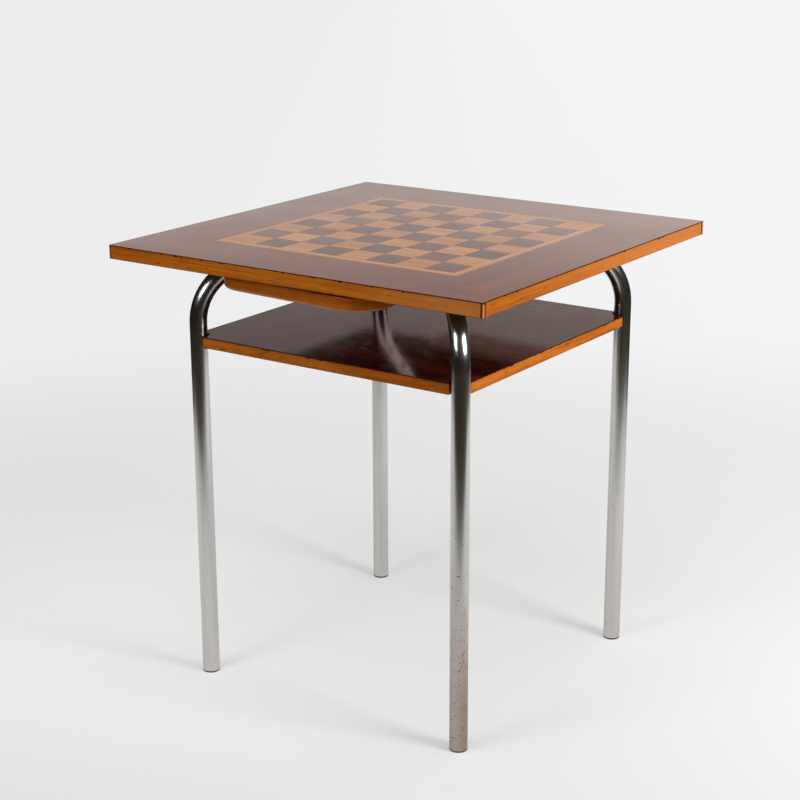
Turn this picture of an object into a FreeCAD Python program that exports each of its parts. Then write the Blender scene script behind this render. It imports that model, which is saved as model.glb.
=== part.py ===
import FreeCAD, Part
import math
import os
from FreeCAD import Vector

# Chess table with an inlaid board, a shelf and two swing-out trays, on a bent tube frame.
# Millimetres, +Z up, origin on the floor under the middle of the table.
# The -Y side is the front, and its tray stands a little open, as it is left in use.

# Table top
overall_height = 730.0
top_side = 680.0
top_thickness = 22.0
top_lipping = 7.0
corner_radius = 1.5
arris = 0.8
veneer = 0.8

# Board inlaid in the top
squares_per_side = 8
square_side = 54.0
strip_width = 8.0

# Bent tube frame
tube_diameter = 28.0
tube_wall = 2.0
leg_spacing = 492.0
bend_radius = 95.0
foot_flange = 3.0
foot_stem = 14.0

# Shelf
shelf_bend_gap = 19.0
shelf_thickness = 18.0
shelf_lipping = 7.0
shelf_overhang = 8.0
notch_gap = 3.0

# Lugs that carry the shelf
lug_thickness = 3.0
lug_width = 24.0
lug_screw_reach = 38.0

# Wood screws through the tubes and the lugs
screw_shank = 5.0
screw_head = 9.0
screw_head_height = 3.0
screw_slot_width = 1.2
screw_slot_depth = 1.4
screw_bite = 12.0
screw_hole_clearance = 0.3
arm_screw_inner = 110.0
arm_screw_end_gap = 30.0

# Trays
tray_length = 302.0
tray_width = 110.0
tray_height = 21.0
tray_wall = 9.0
tray_setback = 14.0
tray_gap = 2.5
tray_rest_angle = 4.0
tray_lower_round = 4.5
tray_upper_round = 1.5
base_thickness = 4.0
base_rebate = 4.0
block_reach = 20.0

# Tray pivots and the pegs that stop them
pivot_shank = 8.0
pivot_clearance = 0.05
pivot_bite = 13.0
pivot_head_across_flats = 13.0
pivot_head_height = 5.3
bush_wall = 2.0
washer_diameter = 20.0
washer_thickness = 1.6
washer_hole_clearance = 0.2
axial_play = 0.2
stop_diameter = 8.0
stop_drop = 12.0
stop_bite = 10.0
stop_clearance = 0.3
stop_block_gap = 4.0

# Gap left for glue between curved faces of pieces that stay together
seat_gap = 0.1

# Heights and places worked out from the values above
up = Vector(0, 0, 1)
top_face = overall_height - veneer
underside = overall_height - top_thickness
tube_radius = tube_diameter / 2
arm_height = underside - tube_radius
leg_reach = leg_spacing / math.sqrt(2)
arm_straight_end = leg_reach - bend_radius
shelf_height = arm_height - bend_radius - shelf_bend_gap
shelf_underside = shelf_height - shelf_thickness
shelf_side = leg_spacing + 2 * shelf_overhang
board_side = squares_per_side * square_side
inlay_side = board_side + 2 * strip_width
tray_radius = tray_width / 2
tray_span = tray_length - tray_width
tray_rim_top = underside - tray_gap
tray_bottom = tray_rim_top - tray_height
base_top = tray_bottom + base_thickness
pivot_x = -tray_span / 2
pivot_y = -(top_side / 2 - tray_setback - tray_radius)
bush_bore = pivot_shank / 2 + pivot_clearance
bush_radius = bush_bore + bush_wall
sides = ("front", "right", "back", "left")
leg_corners = {
    "front_left": Vector(-1, -1, 0),
    "front_right": Vector(1, -1, 0),
    "back_right": Vector(1, 1, 0),
    "back_left": Vector(-1, 1, 0),
}


def prism(points, low, high):
    """Upright prism on a polygon of (x, y) points."""
    corners = [Vector(x, y, low) for x, y in points]
    outline = Part.makePolygon(corners + corners[:1])
    return Part.Face(outline).extrude(up * (high - low))


def slab(length, width, low, high):
    """Rectangular panel centred on the table's axis."""
    x = length / 2
    y = width / 2
    return prism([(-x, -y), (x, -y), (x, y), (-x, y)], low, high)


def disc(radius, low, high, centre=Vector(0, 0, 0)):
    """Upright round bar or hole."""
    return Part.makeCylinder(radius, high - low, Vector(centre.x, centre.y, low))


def turned(profile):
    """Solid turned about the Z axis from (radius, height) points."""
    corners = [Vector(radius, 0, height) for radius, height in profile]
    outline = Part.makePolygon(corners + corners[:1])
    return Part.Face(outline).revolve(Vector(0, 0, 0), up, 360)


def spun(shape, degrees):
    """Copy of a shape turned about the table's axis."""
    copy = shape.copy()
    copy.rotate(Vector(0, 0, 0), up, degrees)
    return copy


def moved(shape, place):
    """Copy of a shape moved by a vector."""
    copy = shape.copy()
    copy.translate(place)
    return copy


def edges_at(shape, height, inset):
    """Straight edges at a height whose middle lies that far from the table's axis towards -Y."""
    found = []
    for edge in shape.Edges:
        box = edge.BoundBox
        level = abs(box.ZMin - height) < 1e-6 and abs(box.ZMax - height) < 1e-6
        if level and abs(box.YMin + inset) < 1e-6 and abs(box.YMax + inset) < 1e-6:
            found.append(edge)
    return found


def mitred_side(outer, inner, low, high):
    """Front piece of a four-piece border with mitred ends."""
    far = outer / 2
    near = inner / 2
    return prism([(-far, -far), (far, -far), (near, -near), (-near, -near)], low, high)


def top_envelope():
    """Block that gives the top its rounded upright corners."""
    block = slab(top_side, top_side, underside, overall_height)
    upright = [edge for edge in block.Edges if edge.BoundBox.ZLength > top_thickness / 2]
    return block.makeFillet(corner_radius, upright)


def top_lippings():
    """Front and back lippings run the full length, and the side ones butt between them."""
    envelope = top_envelope()
    full = top_side / 2
    inside = full - top_lipping
    pieces = {}
    for turn, side in enumerate(sides):
        reach = full if side in ("front", "back") else inside
        outline = [(-reach, -full), (reach, -full), (reach, -inside), (-reach, -inside)]
        strip = prism(outline, underside, top_face)
        strip = strip.makeFillet(arris, edges_at(strip, underside, full))
        pieces["top_lipping_" + side] = spun(strip, 90 * turn).common(envelope)
    return pieces


def border_veneers():
    """Mitred veneer round the board, laid over the lippings."""
    envelope = top_envelope()
    strip = mitred_side(top_side, inlay_side, top_face, overall_height)
    pieces = {}
    for turn, side in enumerate(sides):
        pieces["border_veneer_" + side] = spun(strip, 90 * turn).common(envelope)
    return pieces


def inlay_strips():
    """Pale strip between the board and the border, mitred at its corners."""
    strip = mitred_side(inlay_side, board_side, top_face, overall_height)
    return {"inlay_strip_" + side: spun(strip, 90 * turn) for turn, side in enumerate(sides)}


def board_squares():
    """Veneer squares of the board, pale ones at the front left and back right corners."""
    pale = []
    dark = []
    start = -board_side / 2
    for row in range(squares_per_side):
        for column in range(squares_per_side):
            corner = Vector(start + column * square_side, start + row * square_side, top_face)
            tile = Part.makeBox(square_side, square_side, veneer, corner)
            group = pale if (row + column) % 2 == 0 else dark
            group.append(tile)
    return {"pale_squares": Part.makeCompound(pale), "dark_squares": Part.makeCompound(dark)}


def leg_place(corner):
    """Place of a leg's axis on the floor."""
    return corner * (leg_spacing / 2)


def tube_path(start, end):
    """Leg centreline from the floor at start, bent inwards along the diagonal, to end at arm height."""
    inward = (end - start).normalize()
    foot = start + up * foot_flange
    bend_low = start + up * (arm_height - bend_radius)
    bend_high = start + up * arm_height + inward * bend_radius
    slant = bend_radius * (1 - math.sqrt(0.5))
    bend_middle = start + up * (arm_height - slant) + inward * slant
    rise = Part.LineSegment(foot, bend_low).toShape()
    bend = Part.Arc(bend_low, bend_middle, bend_high).toShape()
    return rise, bend, bend_high


def swept(edges, radius):
    """Round bar swept along a path that starts upright."""
    path = Part.Wire(edges)
    start = edges[0].Vertexes[0].Point
    ring = Part.Wire(Part.makeCircle(radius, start, up))
    return path.makePipeShell([ring], True, False)


def hoop_edges():
    """Centreline of the hoop, from the front left foot over to the back right foot."""
    left = leg_place(leg_corners["front_left"])
    right = leg_place(leg_corners["back_right"])
    rise, bend, high = tube_path(left, Vector(0, 0, 0))
    fall, far_bend, far_high = tube_path(right, Vector(0, 0, 0))
    arm = Part.LineSegment(high, far_high).toShape()
    return [rise, bend, arm, far_bend, fall]


def arm_edges(corner):
    """Centreline of a leg that ends on the hoop under the middle of the top."""
    rise, bend, high = tube_path(leg_place(corner), Vector(0, 0, 0))
    arm = Part.LineSegment(high, up * arm_height).toShape()
    return [rise, bend, arm]


def arm_screw_places():
    """Screws through each arm, one near the middle and one near the bend."""
    reaches = (arm_screw_inner, arm_straight_end - arm_screw_end_gap)
    return [Vector(corner).normalize() * reach for corner in leg_corners.values() for reach in reaches]


def wood_screw(head_seat, tip):
    """Slotted wood screw pointing up, with its domed head under head_seat."""
    shank = screw_shank / 2
    rim = screw_head / 2
    crown = head_seat - screw_head_height
    shoulder = head_seat - screw_head_height * 0.4
    profile = [(0, crown), (rim * 0.6, crown), (rim, shoulder), (rim, head_seat)]
    profile += [(shank, head_seat), (shank, tip - shank), (0, tip)]
    slot = slab(screw_head, screw_slot_width, crown, crown + screw_slot_depth)
    return turned(profile).cut(slot)


def top_screws():
    """Screws that hold the top down on the arms."""
    screw = wood_screw(arm_height - tube_radius, underside + screw_bite)
    return [moved(screw, place) for place in arm_screw_places()]


def frame_tubes():
    """One hoop on a diagonal, and two legs coped and welded to it on the other."""
    hoop_bar = swept(hoop_edges(), tube_radius)
    bore = tube_radius - tube_wall
    hole = screw_shank / 2 + screw_hole_clearance
    holes = [disc(hole, arm_height - tube_diameter, underside, place) for place in arm_screw_places()]
    pieces = {"leg_hoop": hoop_bar.cut(swept(hoop_edges(), bore)).cut(holes)}
    for name in ("front_right", "back_left"):
        edges = arm_edges(leg_corners[name])
        leg = swept(edges, tube_radius).cut(swept(edges, bore))
        pieces[name + "_leg"] = leg.cut([hoop_bar] + holes)
    return pieces


def foot_plugs():
    """Plug pushed into the lower end of each leg."""
    stem = tube_radius - tube_wall - seat_gap
    top = foot_flange + foot_stem
    profile = [(0, 0), (tube_radius - arris, 0), (tube_radius, arris), (tube_radius, foot_flange)]
    profile += [(stem, foot_flange), (stem, top), (0, top)]
    plug = turned(profile)
    return {name + "_foot": moved(plug, leg_place(corner)) for name, corner in leg_corners.items()}


def shelf_lugs():
    """Flat steel lugs welded to the legs under the shelf's corners."""
    half = lug_width / 2
    high = shelf_underside
    low = high - lug_thickness
    bar = prism([(0, -half), (lug_screw_reach, -half), (lug_screw_reach, half), (0, half)], low, high)
    end = Vector(lug_screw_reach, 0, 0)
    lug = bar.fuse(disc(half, low, high, end)).removeSplitter()
    hole = disc(screw_shank / 2 + screw_hole_clearance, low, high, end)
    lug = lug.cut([disc(tube_radius, low, high), hole])
    pieces = {}
    for name, corner in leg_corners.items():
        inward = math.degrees(math.atan2(-corner.y, -corner.x))
        pieces[name + "_lug"] = moved(spun(lug, inward), leg_place(corner))
    return pieces


def shelf_screws():
    """Screws up through the lugs into the shelf."""
    screw = wood_screw(shelf_underside - lug_thickness, shelf_underside + screw_bite)
    reach = leg_reach - lug_screw_reach
    return [moved(screw, Vector(corner).normalize() * reach) for corner in leg_corners.values()]


def shelf_notches():
    """Room for the legs at the shelf's corners."""
    radius = tube_radius + notch_gap
    places = [leg_place(corner) for corner in leg_corners.values()]
    return [disc(radius, shelf_underside, shelf_height, place) for place in places]


def shelf_pieces():
    """Panel with a lipping on each side and veneer over both, notched round the legs."""
    notches = shelf_notches()
    screws = shelf_screws()
    inner = shelf_side - 2 * shelf_lipping
    low = shelf_underside + veneer
    high = shelf_height - veneer
    pieces = {
        "shelf_core": slab(inner, inner, low, high).cut(notches + screws),
        "shelf_top_veneer": slab(shelf_side, shelf_side, high, shelf_height).cut(notches),
        "shelf_bottom_veneer": slab(inner, inner, shelf_underside, low).cut(notches + screws),
        "shelf_screws": Part.makeCompound(screws),
    }
    far = shelf_side / 2
    near = far - shelf_lipping
    outline = [(-near, -far), (near, -far), (near, -near), (-near, -near)]
    strip = prism(outline, shelf_underside, high)
    strip = strip.makeFillet(arris, edges_at(strip, shelf_underside, far))
    for turn, side in enumerate(sides):
        pieces["shelf_lipping_" + side] = spun(strip, 90 * turn).cut(notches)
    return pieces


def oblong(radius, low, high):
    """Bar with round ends, from the tray's pivot along +X to its free end."""
    left = Vector(0, radius, low)
    left_end = Vector(-radius, 0, low)
    left_front = Vector(0, -radius, low)
    right_front = Vector(tray_span, -radius, low)
    right_end = Vector(tray_span + radius, 0, low)
    right = Vector(tray_span, radius, low)
    edges = [Part.Arc(left, left_end, left_front).toShape()]
    edges.append(Part.LineSegment(left_front, right_front).toShape())
    edges.append(Part.Arc(right_front, right_end, right).toShape())
    edges.append(Part.LineSegment(right, left).toShape())
    return Part.Face(Part.Wire(edges)).extrude(up * (high - low))


def rim_edges(shape, height):
    """Edges of a bar that lie level at a height."""
    found = []
    for edge in shape.Edges:
        box = edge.BoundBox
        if box.ZLength < 1e-6 and abs(box.ZMin - height) < 1e-6:
            found.append(edge)
    return found


def tray_pieces():
    """Tray with its pivot at the origin: bent rim, let-in base, pivot block and bush."""
    outer = oblong(tray_radius, tray_bottom, tray_rim_top)
    outer = outer.makeFillet(tray_lower_round, rim_edges(outer, tray_bottom))
    outer = outer.makeFillet(tray_upper_round, rim_edges(outer, tray_rim_top))
    inner_radius = tray_radius - tray_wall
    rebate_radius = inner_radius + base_rebate
    hollow = oblong(inner_radius, tray_bottom, tray_rim_top)
    rebate = oblong(rebate_radius, tray_bottom, base_top)
    bush_hole = disc(bush_radius + seat_gap, tray_bottom, tray_rim_top)
    fill = oblong(inner_radius - seat_gap, base_top, tray_rim_top)
    reach = slab(2 * block_reach, tray_width, base_top, tray_rim_top)
    near_end = moved(reach, Vector(-block_reach, 0, 0)).fuse(reach)
    bush = disc(bush_radius, tray_bottom, tray_rim_top)
    bore = disc(bush_bore, tray_bottom, tray_rim_top)
    return {
        "tray_rim": outer.cut([hollow, rebate]),
        "tray_base": oblong(rebate_radius - seat_gap, tray_bottom, base_top).cut(bush_hole),
        "pivot_block": fill.common(near_end).cut(bush_hole),
        "pivot_bush": bush.cut(bore),
    }


def pivot_screw():
    """Hexagon-headed coach screw that the tray hangs and turns on."""
    radius = pivot_shank / 2
    seat = tray_bottom - washer_thickness
    tip = underside + pivot_bite
    shank = turned([(0, seat), (radius, seat), (radius, tip - radius), (0, tip)])
    corner = pivot_head_across_flats / math.sqrt(3)
    angles = [math.radians(60 * step) for step in range(6)]
    hexagon = [(corner * math.cos(angle), corner * math.sin(angle)) for angle in angles]
    return shank.fuse(prism(hexagon, seat - pivot_head_height, seat)).removeSplitter()


def washer(low, high):
    """Flat washer on the pivot screw."""
    hole = pivot_shank / 2 + washer_hole_clearance
    return disc(washer_diameter / 2, low, high).cut(disc(hole, low, high))


def stop_peg():
    """Peg under the top that runs inside the tray and meets one wall when shut, the other when open."""
    radius = stop_diameter / 2
    low = underside - stop_drop
    high = underside + stop_bite
    peg = turned([(0, low), (radius - arris, low), (radius, low + arris), (radius, high), (0, high)])
    along = block_reach + stop_block_gap + radius
    across = tray_radius - tray_wall - radius - stop_clearance
    return moved(peg, Vector(along, -across, 0))


def fixed_pivot_pieces():
    """Pieces of a pivot that stay with the table top."""
    return {
        "pivot_screw": pivot_screw(),
        "pivot_washer": washer(tray_bottom - washer_thickness, tray_bottom),
        "pivot_spacer": washer(tray_rim_top + axial_play, underside),
        "stop_peg": stop_peg(),
    }


def both_trays():
    """Front tray at the front edge, and the back one half a turn from it."""
    pivot = Vector(pivot_x, pivot_y, 0)
    pieces = {}
    for side, half_turn in (("front", 0), ("back", 180)):
        for name, shape in tray_pieces().items():
            pieces[side + "_" + name] = spun(moved(spun(shape, -tray_rest_angle), pivot), half_turn)
        for name, shape in fixed_pivot_pieces().items():
            pieces[side + "_" + name] = spun(moved(shape, pivot), half_turn)
    return pieces


def top_panel(screws):
    """Core and backing veneer of the top, bored for the screws that enter them."""
    inner = top_side - 2 * top_lipping
    low = underside + veneer
    return {
        "top_core": slab(inner, inner, low, top_face).cut(screws),
        "top_underside_veneer": slab(inner, inner, underside, low).cut(screws),
    }


def all_pieces():
    """Every piece of the table by name."""
    trays = both_trays()
    screws = top_screws()
    fixings = ("pivot_screw", "stop_peg")
    pivots = [trays[side + piece] for side in ("front_", "back_") for piece in fixings]
    pieces = top_panel(screws + pivots)
    pieces["top_screws"] = Part.makeCompound(screws)
    for group in (top_lippings(), border_veneers(), inlay_strips(), board_squares()):
        pieces.update(group)
    for group in (frame_tubes(), foot_plugs(), shelf_lugs(), shelf_pieces(), trays):
        pieces.update(group)
    return pieces


def main():
    os.makedirs("parts", exist_ok=True)
    pieces = all_pieces()
    for name, shape in pieces.items():
        shape.exportStep(os.path.join("parts", name + ".step"))
    solids = sum(len(shape.Solids) for shape in pieces.values())
    print(len(pieces), "nodes,", solids, "solids")


main()
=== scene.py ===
import bpy
import math
from mathutils import Matrix, Vector


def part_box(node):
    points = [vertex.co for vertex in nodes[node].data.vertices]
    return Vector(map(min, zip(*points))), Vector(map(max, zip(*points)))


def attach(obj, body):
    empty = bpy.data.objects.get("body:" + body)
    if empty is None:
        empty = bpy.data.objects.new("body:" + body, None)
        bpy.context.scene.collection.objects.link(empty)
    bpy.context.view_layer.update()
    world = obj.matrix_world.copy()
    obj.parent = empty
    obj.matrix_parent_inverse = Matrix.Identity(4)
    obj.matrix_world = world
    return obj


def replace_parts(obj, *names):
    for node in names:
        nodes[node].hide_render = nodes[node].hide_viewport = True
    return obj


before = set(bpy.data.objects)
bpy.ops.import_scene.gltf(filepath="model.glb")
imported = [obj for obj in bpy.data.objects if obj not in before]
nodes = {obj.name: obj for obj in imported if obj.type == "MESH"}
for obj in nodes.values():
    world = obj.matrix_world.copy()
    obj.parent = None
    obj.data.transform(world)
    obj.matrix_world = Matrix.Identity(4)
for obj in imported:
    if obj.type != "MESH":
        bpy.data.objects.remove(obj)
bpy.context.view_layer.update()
print("frame loaded with", len(nodes), "nodes")


# Small helpers for node trees
def put(tree, kind, inputs=None, **settings):
    node = tree.nodes.new(kind)
    for key, value in settings.items():
        setattr(node, key, value)
    for key, value in (inputs or {}).items():
        if isinstance(value, bpy.types.NodeSocket):
            tree.links.new(value, node.inputs[key])
        else:
            node.inputs[key].default_value = value
    return node


def feed(tree, node, sources):
    for key, socket in sources.items():
        tree.links.new(socket, node.inputs[key])


def given(*values):
    return {i: value for i, value in enumerate(values) if value is not None}


def calc(tree, operation, first, second=None, third=None):
    return put(tree, "ShaderNodeMath", given(first, second, third), operation=operation).outputs[0]


def times(tree, first, second):
    return calc(tree, "MULTIPLY", first, second)


def vecCalc(tree, operation, first, second=None, third=None):
    return put(tree, "ShaderNodeVectorMath", given(first, second, third), operation=operation).outputs[0]


def vecMeasure(tree, operation, first, second=None):
    return put(tree, "ShaderNodeVectorMath", given(first, second), operation=operation).outputs["Value"]


def scaled(tree, vector, amount):
    return put(tree, "ShaderNodeVectorMath", {0: vector, "Scale": amount}, operation="SCALE").outputs[0]


def split(tree, vector):
    return put(tree, "ShaderNodeSeparateXYZ", {0: vector}).outputs


def objectPlace(tree):
    return put(tree, "ShaderNodeTexCoord").outputs["Object"]


def fade(tree, value, start, end, low=0.0, high=1.0):
    values = {"Value": value, "From Min": start, "From Max": end, "To Min": low, "To Max": high}
    return put(tree, "ShaderNodeMapRange", values, interpolation_type="SMOOTHSTEP").outputs[0]


def opaque(colour):
    return (*colour, 1.0) if isinstance(colour, tuple) else colour


def blendColour(tree, factor, first, second, blend="MIX"):
    values = {0: factor, 6: opaque(first), 7: opaque(second)}
    return put(tree, "ShaderNodeMix", values, data_type="RGBA", blend_type=blend).outputs[2]


def colourRamp(tree, factor, stops):
    node = put(tree, "ShaderNodeValToRGB", {"Fac": factor})
    line = node.color_ramp.elements
    while len(line) < len(stops):
        line.new(0.5)
    for element, (place, colour) in zip(line, stops):
        element.position = place
        element.color = opaque(colour)
    return node.outputs["Color"]


def noise(tree, vector, scale, detail=2.0, roughness=0.5, output="Fac"):
    values = {"Vector": vector, "Scale": scale, "Detail": detail, "Roughness": roughness}
    return put(tree, "ShaderNodeTexNoise", values).outputs[output]


def newGroup(name, inputs, outputs):
    tree = bpy.data.node_groups.new(name, "ShaderNodeTree")
    for label, kind, value in inputs:
        socket = tree.interface.new_socket(label, in_out="INPUT", socket_type=kind)
        socket.default_value = value
    for label in outputs:
        tree.interface.new_socket(label, in_out="OUTPUT", socket_type="NodeSocketFloat")
    return tree, tree.nodes.new("NodeGroupInput").outputs, tree.nodes.new("NodeGroupOutput")


def useGroup(tree, group, inputs):
    return put(tree, "ShaderNodeGroup", inputs, node_tree=group).outputs


def newMaterial(name, constants):
    material = bpy.data.materials.new(name)
    material.use_nodes = True
    tree = material.node_tree
    shader = tree.nodes["Principled BSDF"]
    for key, value in constants.items():
        shader.inputs[key].default_value = value
    return material, tree, shader


def addBump(tree, shader, look, height):
    inputs = {"Strength": look["bump"], "Distance": look["bumpDepth"], "Height": height}
    feed(tree, shader, {"Normal": put(tree, "ShaderNodeBump", inputs).outputs[0]})


def dress(material, slotName, *names):
    for name in names:
        piece = nodes[name]
        piece.data.materials.clear()
        piece.data.materials.append(material)


# New piece that stays with the table, from vertices and faces worked out in place
def addPiece(name, verts, faces, material):
    mesh = bpy.data.meshes.new(name)
    mesh.from_pydata([tuple(point) for point in verts], [], faces)
    mesh.materials.append(material)
    piece = bpy.data.objects.new(name, mesh)
    bpy.context.scene.collection.objects.link(piece)
    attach(piece, "table")
    return piece


# Grain of sawn or sliced wood, running along X of the vector it is given
grainShape = {
    "drift": 5.0, "longStretch": (0.03, 1.0, 1.0), "shortStretch": (0.07, 1.0, 1.0),
    "poreFineness": 2.6, "poreRange": (0.60, 0.72),
}


def makeGrainGroup():
    tree, entry, out = newGroup("wood grain", [
        ("Vector", "NodeSocketVector", (0, 0, 0)),
        ("Fibre Scale", "NodeSocketFloat", 420.0),
        ("Figure Scale", "NodeSocketFloat", 40.0),
        ("Wander", "NodeSocketFloat", 0.006),
    ], ["Figure", "Fibre", "Pores"])
    drift = noise(tree, entry["Vector"], grainShape["drift"], output="Color")
    drift = vecCalc(tree, "SUBTRACT", drift, (0.5, 0.5, 0.5))
    wandering = vecCalc(tree, "ADD", entry["Vector"], scaled(tree, drift, entry["Wander"]))
    longFibre = vecCalc(tree, "MULTIPLY", wandering, grainShape["longStretch"])
    shortFibre = vecCalc(tree, "MULTIPLY", wandering, grainShape["shortStretch"])
    poreScale = times(tree, entry["Fibre Scale"], grainShape["poreFineness"])
    feed(tree, out, {
        "Figure": noise(tree, longFibre, entry["Figure Scale"], 4.0, 0.6),
        "Fibre": noise(tree, longFibre, entry["Fibre Scale"], 4.0, 0.62),
        "Pores": fade(tree, noise(tree, shortFibre, poreScale, 1.0), *grainShape["poreRange"]),
    })
    return tree


# Rubbed and nicked arrises of a box-shaped piece
arrisShape = {
    "patches": 38.0, "patchRange": (0.38, 0.62), "rubReach": (1.0, 0.0),
    "chips": 130.0, "chipRange": (0.60, 0.68), "nickReach": (0.9, 0.35),
}


def makeArrisGroup():
    tree, entry, out = newGroup("worn arris", [
        ("Vector", "NodeSocketVector", (0, 0, 0)),
        ("Centre", "NodeSocketVector", (0, 0, 0)),
        ("Half Size", "NodeSocketVector", (1, 1, 1)),
        ("Width", "NodeSocketFloat", 0.002),
    ], ["Rub", "Nick"])
    shape = arrisShape
    away = vecCalc(tree, "SUBTRACT", entry["Vector"], entry["Centre"])
    inside = vecCalc(tree, "SUBTRACT", entry["Half Size"], vecCalc(tree, "ABSOLUTE", away))
    x, y, z = split(tree, vecCalc(tree, "MAXIMUM", inside, (0.0, 0.0, 0.0)))
    least = calc(tree, "MINIMUM", calc(tree, "MINIMUM", x, y), z)
    most = calc(tree, "MAXIMUM", calc(tree, "MAXIMUM", x, y), z)
    total = calc(tree, "ADD", calc(tree, "ADD", x, y), z)
    middle = calc(tree, "SUBTRACT", calc(tree, "SUBTRACT", total, least), most)  # way to the nearest arris
    share = calc(tree, "DIVIDE", middle, entry["Width"])
    patches = noise(tree, entry["Vector"], shape["patches"], 4.0, 0.65)
    chips = noise(tree, entry["Vector"], shape["chips"], 3.0, 0.6)
    rubbed = fade(tree, patches, *shape["patchRange"])
    chipped = fade(tree, chips, *shape["chipRange"])
    feed(tree, out, {
        "Rub": times(tree, fade(tree, share, *shape["rubReach"]), rubbed),
        "Nick": times(tree, fade(tree, share, *shape["nickReach"]), chipped),
    })
    return tree


# Handling marks in a polish: smears, fine scratches and small dents
markShape = {
    "smearRange": (0.32, 0.70), "scratchTurn": (0, 0, 0.7), "scratchStretch": (1, 0.03, 1),
    "scratches": 700.0, "scratchRange": (0.69, 0.74), "dents": 24.0, "dentRange": (0.05, 0.0),
}


def makeHandlingGroup():
    tree, entry, out = newGroup("handled polish", [
        ("Vector", "NodeSocketVector", (0, 0, 0)),
        ("Smear Scale", "NodeSocketFloat", 9.0),
    ], ["Smear", "Scratch", "Dent"])
    shape = markShape
    smear = noise(tree, entry["Vector"], entry["Smear Scale"], 5.0, 0.62)
    turn = {"Rotation": shape["scratchTurn"], "Scale": shape["scratchStretch"]}
    turned = put(tree, "ShaderNodeMapping", {"Vector": entry["Vector"], **turn}).outputs[0]
    scratch = noise(tree, turned, shape["scratches"], 1.0)
    cells = {"Vector": entry["Vector"], "Scale": shape["dents"]}
    dent = put(tree, "ShaderNodeTexVoronoi", cells).outputs["Distance"]
    feed(tree, out, {
        "Smear": fade(tree, smear, *shape["smearRange"]),
        "Scratch": fade(tree, scratch, *shape["scratchRange"]),
        "Dent": fade(tree, dent, *shape["dentRange"]),
    })
    return tree


# Aged plating: haze, pits and a brown bloom that starts near the floor
platingShape = {
    "hazeStretch": (1.0, 1.0, 0.04), "haze": 110.0, "hazeRange": (0.30, 0.72),
    "clouds": 90.0, "speckles": 420.0, "patchShare": 0.35, "lowShare": 0.50, "bloomRange": (0.36, 0.94),
    "pits": 190.0, "pitAreas": 83.0, "areaRange": (0.50, 0.62), "pitSize": 0.25, "pitEdge": (0.0, -0.06),
    "pitHeights": (0.50, 0.30), "dullHeights": (0.56, 0.30),
}


def makePlatingGroup():
    tree, entry, out = newGroup("aged plating", [
        ("Vector", "NodeSocketVector", (0, 0, 0)),
        ("Bloom Height", "NodeSocketFloat", 0.2),
    ], ["Haze", "Pits", "Bloom", "Dull"])
    shape, place = platingShape, entry["Vector"]
    height = split(tree, place)["Z"]
    haze = noise(tree, vecCalc(tree, "MULTIPLY", place, shape["hazeStretch"]), shape["haze"], 3.0, 0.55)
    cloud = noise(tree, place, shape["clouds"], 5.0, 0.7)
    speckle = noise(tree, place, shape["speckles"], 3.0, 0.7)
    patchy = times(tree, speckle, shape["patchShare"])
    patchy = calc(tree, "MULTIPLY_ADD", cloud, shape["patchShare"], patchy)
    low = fade(tree, height, entry["Bloom Height"], 0.0)
    bloom = calc(tree, "MULTIPLY_ADD", low, shape["lowShare"], patchy)
    cells = {"Vector": place, "Scale": shape["pits"], "Randomness": 1.0}
    spots = put(tree, "ShaderNodeTexVoronoi", cells).outputs["Distance"]
    areas = fade(tree, noise(tree, place, shape["pitAreas"]), *shape["areaRange"])
    size = times(tree, times(tree, areas, shape["pitSize"]), fade(tree, height, *shape["pitHeights"]))
    feed(tree, out, {
        "Haze": fade(tree, haze, *shape["hazeRange"]),
        "Pits": fade(tree, calc(tree, "SUBTRACT", spots, size), *shape["pitEdge"]),
        "Bloom": fade(tree, bloom, *shape["bloomRange"]),
        "Dull": fade(tree, height, *shape["dullHeights"]),
    })
    return tree


grainGroup = makeGrainGroup()
arrisGroup = makeArrisGroup()
handlingGroup = makeHandlingGroup()
platingGroup = makePlatingGroup()
print("shared finishes made")

quarterTurn = math.pi / 2
sideTurns = {"front": 0.0, "right": quarterTurn, "back": 0.0, "left": quarterTurn}

# Boxes of top and shelf, along whose edges the wear runs
topCentre = (0.0, 0.0, 0.719)
topHalf = (0.340, 0.340, 0.011)
shelfCentre = (0.0, 0.0, 0.571)
shelfHalf = (0.254, 0.254, 0.009)

# Wood tones from grain, the same way for every wood
woodMix = {"figure": 0.62, "fibre": 0.38, "toneSpread": 0.16, "pores": 0.55, "stops": (0.36, 0.50, 0.64)}


# Position along the grain: turned for pieces that run the other way, shifted so that no two match
def grainPlace(tree, turn, shift):
    place = objectPlace(tree)
    inputs = {"Vector": place, "Rotation": (0, 0, turn), "Location": shift}
    return place, put(tree, "ShaderNodeMapping", inputs).outputs[0]


def stepped(count, step):
    return tuple(count * part for part in step)


def grainOf(tree, look, along):
    inputs = {"Vector": along, "Fibre Scale": look["fibre"], "Figure Scale": look["figure"]}
    inputs["Wander"] = look["wander"]
    return useGroup(tree, grainGroup, inputs)


def marksOn(tree, place, smearScale):
    return useGroup(tree, handlingGroup, {"Vector": place, "Smear Scale": smearScale})


def woodColour(tree, look, grain, tone=None):
    figure = times(tree, grain["Figure"], woodMix["figure"])
    level = calc(tree, "ADD", figure, times(tree, grain["Fibre"], woodMix["fibre"]))
    if tone is not None:
        away = times(tree, calc(tree, "SUBTRACT", tone, 0.5), woodMix["toneSpread"])
        level = calc(tree, "ADD", level, away)
    tones = (look["deep"], look["main"], look["bright"])
    colour = colourRamp(tree, level, list(zip(woodMix["stops"], tones)))
    return blendColour(tree, times(tree, grain["Pores"], woodMix["pores"]), colour, look["deep"])


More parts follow.
